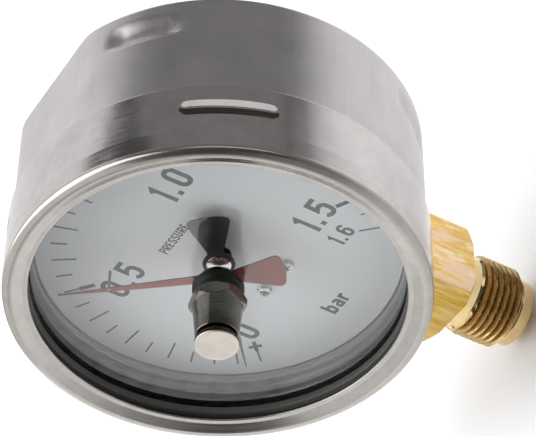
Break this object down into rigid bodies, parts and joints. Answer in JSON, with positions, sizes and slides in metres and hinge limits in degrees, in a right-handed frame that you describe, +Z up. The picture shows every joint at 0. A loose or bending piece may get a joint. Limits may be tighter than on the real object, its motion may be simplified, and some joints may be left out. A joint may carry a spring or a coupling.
{
  "type": "pressure gauge",
  "caption": "Round dial pressure gauge with a bottom threaded connection, a bayonet ring and a drag pointer reset by a knob on its window.",
  "frame": {"origin": "centre of the sealing face at the lower end of the connection, where the centring pilot begins", "axes": "+Z up along the connection's axis to the case, -Y the way the dial faces, +X the dial's right-hand side"},
  "size_m": [0.101, 0.0653, 0.1405],
  "materials": {
    "case_steel": "satin stainless steel, faint turning lines",
    "ring_steel": "fine turned stainless steel",
    "brass": "machined brass",
    "tube_bronze": "drawn copper alloy tube",
    "rubber": "black rubber",
    "window": "clear",
    "dial_print": "matt white dial with dark print",
    "black_paint": "satin black",
    "red_paint": "satin red",
    "bright_metal": "bright turned metal",
    "nut_metal": "dark nickel, turned",
    "screw_steel": "bright screws",
    "spring_steel": "spring metal"
  },
  "bodies": {
    "case": {"case": "case_steel", "window": "window", "window_gasket": "rubber", "blow_out_plug": "rubber", "case_screws": "screw_steel", "stem": "brass", "stem_gasket": "rubber", "dial": "dial_print", "dial_screws": "screw_steel", "dial_posts": "brass", "drag_bushing": "nut_metal", "window_washer": "rubber", "conical_nut": "nut_metal", "friction_spring": "spring_steel", "movement_front_plate": "brass", "movement_back_plate": "brass", "movement_pillars": "brass", "plate_screws": "screw_steel", "movement_screws": "screw_steel", "hairspring": "spring_steel", "hairspring_stud": "brass", "bourdon_tube": "tube_bronze"},
    "bayonet_ring": {"bezel_ring": "ring_steel"},
    "pointer": {"pinion": "bright_metal", "hairspring_collet": "brass", "pointer_hub": "bright_metal", "pointer": "black_paint"},
    "sector": {"sector_gear": "brass", "sector_arbor": "bright_metal", "sector_link_pin": "bright_metal"},
    "link": {"link": "spring_steel"},
    "tube_tip": {"tube_end_piece": "brass", "tip_screw": "screw_steel"},
    "drag": {"drag_pointer": "red_paint", "drag_pin": "bright_metal", "drag_rivet": "bright_metal", "drag_spindle": "bright_metal", "reset_knob": "bright_metal"}
  },
  "joints": [
    {"name": "sector_swing", "type": "hinge", "parent": "case", "child": "sector", "pos_m": [0.01, -0.01, 0.06448], "axis": [0, -1, 0], "range_deg": [-0.48, 26.52], "stiffness_Nm_per_rad": 0.05, "deforming": ["bourdon_tube"]},
    {"name": "pointer_turn", "type": "hinge", "parent": "case", "child": "pointer", "pos_m": [0, -0.021, 0.087], "axis": [0, 1, 0], "range_deg": [-4.81, 265.21], "deforming": ["hairspring"]},
    {"name": "tube_tip_swing", "type": "hinge", "parent": "case", "child": "tube_tip", "pos_m": [0.0025, 0.001, 0.12], "axis": [0, -1, 0], "range_deg": [-0.07, 3.53]},
    {"name": "link_swing", "type": "hinge", "parent": "sector", "child": "link", "pos_m": [0.01364, -0.011, 0.05792], "axis": [0, -1, 0], "range_deg": [-26.66, 0.49]},
    {"name": "drag_turn", "type": "hinge", "parent": "case", "child": "drag", "pos_m": [0, -0.029, 0.087], "axis": [0, 1, 0], "range_deg": [-86, 179]},
    {"name": "bezel_twist", "type": "hinge", "parent": "case", "child": "bayonet_ring", "pos_m": [0, -0.021, 0.087], "axis": [0, 1, 0], "range_deg": [-15, 0]}
  ],
  "couplings": [
    {"joint": "pointer_turn", "follows": "sector_swing", "ratio": 10},
    {"joint": "tube_tip_swing", "follows": "sector_swing", "ratio": 0.13281},
    {"joint": "link_swing", "follows": "sector_swing", "ratio": -1.0051}
  ]
}
